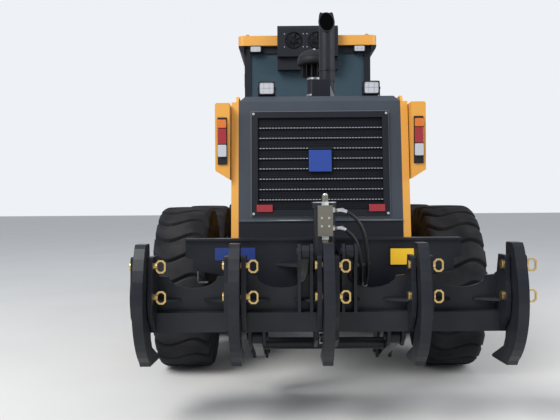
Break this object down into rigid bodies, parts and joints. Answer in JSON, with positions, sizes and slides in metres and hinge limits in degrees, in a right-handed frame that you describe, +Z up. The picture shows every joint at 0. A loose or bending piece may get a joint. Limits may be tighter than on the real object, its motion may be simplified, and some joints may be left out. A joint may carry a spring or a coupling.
{
  "type": "motor grader",
  "caption": "Articulated road grader with tandem rear wheels, an enclosed cab, a turning blade under a curved front beam and a raised rear ripper",
  "frame": {"origin": "On the ground under the middle of the machine's overall box", "axes": "+X to the machine's right, +Y forward towards the front plate, +Z up"},
  "size_m": [3.66, 9.7, 3.33],
  "materials": {
    "yellow_paint": "semi-gloss road machine yellow with fine dust",
    "slate_paint": "satin dark slate paint, dusty and scuffed on edges",
    "blade_steel": "dark paint worn to bright steel on the face",
    "black_metal": "satin black",
    "black_plastic": "matt moulded black",
    "tyre_rubber": "dusty black tyre rubber",
    "window_glass": "clear tinted",
    "seat_cloth": "dark woven seat cloth",
    "hose_rubber": "black hydraulic hose",
    "rod_chrome": "polished cylinder rod",
    "zinc_plate": "yellow zinc plating",
    "exhaust_steel": "heat-stained steel"
  },
  "bodies": {
    "root": {"rear_frame": "slate_paint", "rear_bumper": "slate_paint", "rear_axle": "slate_paint", "hood_shell": "slate_paint", "hood_side_panels": "yellow_paint", "grille": "black_metal", "engine": "black_metal", "exhaust_stack": "exhaust_steel", "air_precleaner": "black_plastic", "cab_frame": "black_metal", "cab_roof": "yellow_paint", "cab_glass": "window_glass", "cab_console": "black_plastic", "seat": "seat_cloth", "air_conditioner": "black_metal", "rear_lamps": "black_plastic", "step_boxes": "slate_paint", "articulation_barrels": "black_metal", "ripper_hoses": "hose_rubber"},
    "hood_door_left": {"hood_door_left": "yellow_paint"},
    "hood_door_right": {"hood_door_right": "yellow_paint"},
    "cab_door_left": {"cab_door_left": "black_metal"},
    "cab_door_right": {"cab_door_right": "black_metal"},
    "wheel_back_left": {"tyre_back_left": "tyre_rubber", "rim_back_left": "yellow_paint"},
    "wheel_back_right": {"tyre_back_right": "tyre_rubber", "rim_back_right": "yellow_paint"},
    "wheel_middle_left": {"tyre_middle_left": "tyre_rubber", "rim_middle_left": "yellow_paint"},
    "wheel_middle_right": {"tyre_middle_right": "tyre_rubber", "rim_middle_right": "yellow_paint"},
    "wheel_front_left": {"tyre_front_left": "tyre_rubber", "rim_front_left": "yellow_paint"},
    "wheel_front_right": {"tyre_front_right": "tyre_rubber", "rim_front_right": "yellow_paint"},
    "front_half": {"front_frame": "yellow_paint", "saddle": "slate_paint", "front_axle": "slate_paint", "head_lamps": "black_plastic"},
    "articulation_left": {"articulation_rod_left": "rod_chrome"},
    "lean_left": {"lean_yoke_left": "slate_paint"},
    "steer_left": {"knuckle_left": "slate_paint"},
    "articulation_right": {"articulation_rod_right": "rod_chrome"},
    "lean_right": {"lean_yoke_right": "slate_paint"},
    "steer_right": {"knuckle_right": "slate_paint"},
    "lean_link": {"lean_bar": "rod_chrome"},
    "steer_link": {"tie_rod": "rod_chrome"},
    "drawbar_half": {"drawbar": "slate_paint"},
    "circle_half": {"circle": "slate_paint"},
    "carrier": {"blade_carrier": "slate_paint"},
    "blade": {"moldboard": "blade_steel"},
    "lift": {"lift_rods": "rod_chrome"},
    "ripper_lower": {"ripper_lower_link": "slate_paint"},
    "ripper_upper": {"ripper_upper_links": "slate_paint"},
    "ripper_frame": {"ripper_beam": "slate_paint", "ripper_shanks": "slate_paint", "ripper_pins": "zinc_plate"},
    "ripper_barrel": {"ripper_cylinder_barrel": "slate_paint", "ripper_valve": "zinc_plate"},
    "ripper_rod": {"ripper_cylinder_rod": "rod_chrome"}
  },
  "joints": [
    {"name": "wheel_back_left_spin", "type": "hinge", "parent": "root", "child": "wheel_back_left", "pos_m": [-1.0775, -2.899, 0.674], "axis": [1, 0, 0], "continuous": true},
    {"name": "wheel_middle_left_spin", "type": "hinge", "parent": "root", "child": "wheel_middle_left", "pos_m": [-1.0775, -1.361, 0.674], "axis": [1, 0, 0], "continuous": true},
    {"name": "wheel_back_right_spin", "type": "hinge", "parent": "root", "child": "wheel_back_right", "pos_m": [1.0775, -2.899, 0.674], "axis": [1, 0, 0], "continuous": true},
    {"name": "wheel_middle_right_spin", "type": "hinge", "parent": "root", "child": "wheel_middle_right", "pos_m": [1.0775, -1.361, 0.674], "axis": [1, 0, 0], "continuous": true},
    {"name": "articulation", "type": "hinge", "parent": "root", "child": "front_half", "pos_m": [0, 0.43, 0.975], "axis": [0, 0, 1], "range_deg": [-27, 27]},
    {"name": "articulation_left_slide", "type": "slide", "parent": "root", "child": "articulation_left", "axis": [0, 1, 0], "range_m": [-0.26, 0.26]},
    {"name": "articulation_right_slide", "type": "slide", "parent": "root", "child": "articulation_right", "axis": [0, 1, 0], "range_m": [-0.26, 0.26]},
    {"name": "wheel_lean", "type": "hinge", "parent": "front_half", "child": "lean_left", "pos_m": [-0.66, 4.089, 0.6], "axis": [0, 1, 0], "range_deg": [-17, 17]},
    {"name": "wheel_lean_right", "type": "hinge", "parent": "front_half", "child": "lean_right", "pos_m": [0.66, 4.089, 0.6], "axis": [0, 1, 0], "range_deg": [-17, 17]},
    {"name": "lean_link_slide", "type": "slide", "parent": "front_half", "child": "lean_link", "axis": [1, 0, 0], "range_m": [-0.065, 0.065]},
    {"name": "steer", "type": "hinge", "parent": "lean_left", "child": "steer_left", "pos_m": [-0.76, 4.089, 0.674], "axis": [0, 0, 1], "range_deg": [-50, 50]},
    {"name": "steer_right_turn", "type": "hinge", "parent": "lean_right", "child": "steer_right", "pos_m": [0.76, 4.089, 0.674], "axis": [0, 0, 1], "range_deg": [-50, 50]},
    {"name": "steer_link_slide", "type": "slide", "parent": "front_half", "child": "steer_link", "axis": [1, 0, 0], "range_m": [-0.1, 0.1]},
    {"name": "wheel_front_left_spin", "type": "hinge", "parent": "steer_left", "child": "wheel_front_left", "pos_m": [-1.0775, 4.089, 0.674], "axis": [1, 0, 0], "continuous": true},
    {"name": "wheel_front_right_spin", "type": "hinge", "parent": "steer_right", "child": "wheel_front_right", "pos_m": [1.0775, 4.089, 0.674], "axis": [1, 0, 0], "continuous": true},
    {"name": "blade_lift", "type": "hinge", "parent": "front_half", "child": "drawbar_half", "pos_m": [0, 3.75, 0.8], "axis": [1, 0, 0], "range_deg": [-7, 15]},
    {"name": "lift_slide", "type": "slide", "parent": "front_half", "child": "lift", "axis": [0, 0, 1], "range_m": [-0.72, 0.3]},
    {"name": "circle_turn", "type": "hinge", "parent": "drawbar_half", "child": "circle_half", "pos_m": [0, 1.62, 0.84], "axis": [0, 0, 1], "range_deg": [-180, 180]},
    {"name": "blade_pitch", "type": "hinge", "parent": "circle_half", "child": "carrier", "pos_m": [0, 1.39, 0.36], "axis": [1, 0, 0], "range_deg": [-20, 20]},
    {"name": "blade_shift", "type": "slide", "parent": "carrier", "child": "blade", "axis": [1, 0, 0], "range_m": [-0.6, 0.6]},
    {"name": "ripper_lift", "type": "hinge", "parent": "root", "child": "ripper_lower", "pos_m": [0, -3.83, 0.32], "axis": [1, 0, 0], "range_deg": [0, 72]},
    {"name": "ripper_frame_level", "type": "hinge", "parent": "ripper_lower", "child": "ripper_frame", "pos_m": [0, -4.395, 0.525], "axis": [1, 0, 0], "range_deg": [-72, 0]},
    {"name": "ripper_upper_turn", "type": "hinge", "parent": "root", "child": "ripper_upper", "pos_m": [0, -4.035, 0.875], "axis": [1, 0, 0], "range_deg": [0, 72]},
    {"name": "ripper_barrel_swing", "type": "hinge", "parent": "root", "child": "ripper_barrel", "pos_m": [0, -4.28, 1], "axis": [1, 0, 0], "range_deg": [0, 8]},
    {"name": "ripper_rod_slide", "type": "slide", "parent": "ripper_barrel", "child": "ripper_rod", "axis": [0, 0, -1], "range_m": [0, 0.7]},
    {"name": "cab_door_left_hinge", "type": "hinge", "parent": "root", "child": "cab_door_left", "pos_m": [-0.723, -0.556, 2.2], "axis": [0, 0, 1], "range_deg": [0, 100]},
    {"name": "cab_door_right_hinge", "type": "hinge", "parent": "root", "child": "cab_door_right", "pos_m": [0.723, -0.556, 2.2], "axis": [0, 0, -1], "range_deg": [0, 100]},
    {"name": "hood_door_left_hinge", "type": "hinge", "parent": "root", "child": "hood_door_left", "pos_m": [-0.66, -1.796, 1.72], "axis": [0, 0, -1], "range_deg": [0, 100]},
    {"name": "hood_door_right_hinge", "type": "hinge", "parent": "root", "child": "hood_door_right", "pos_m": [0.66, -1.796, 1.72], "axis": [0, 0, 1], "range_deg": [0, 100]}
  ],
  "couplings": [
    {"joint": "articulation_right_slide", "follows": "articulation", "m_per_rad": 0.525},
    {"joint": "articulation_left_slide", "follows": "articulation", "m_per_rad": -0.525},
    {"joint": "wheel_lean_right", "follows": "wheel_lean", "ratio": 1},
    {"joint": "lean_link_slide", "follows": "wheel_lean", "m_per_rad": 0.2},
    {"joint": "steer_right_turn", "follows": "steer", "ratio": 1},
    {"joint": "steer_link_slide", "follows": "steer", "m_per_rad": 0.11},
    {"joint": "lift_slide", "follows": "blade_lift", "m_per_rad": -2.38},
    {"joint": "ripper_frame_level", "follows": "ripper_lift", "ratio": -1},
    {"joint": "ripper_upper_turn", "follows": "ripper_lift", "ratio": 1},
    {"joint": "ripper_barrel_swing", "follows": "ripper_lift", "ratio": 0.1},
    {"joint": "ripper_rod_slide", "follows": "ripper_lift", "m_per_rad": 0.553}
  ]
}
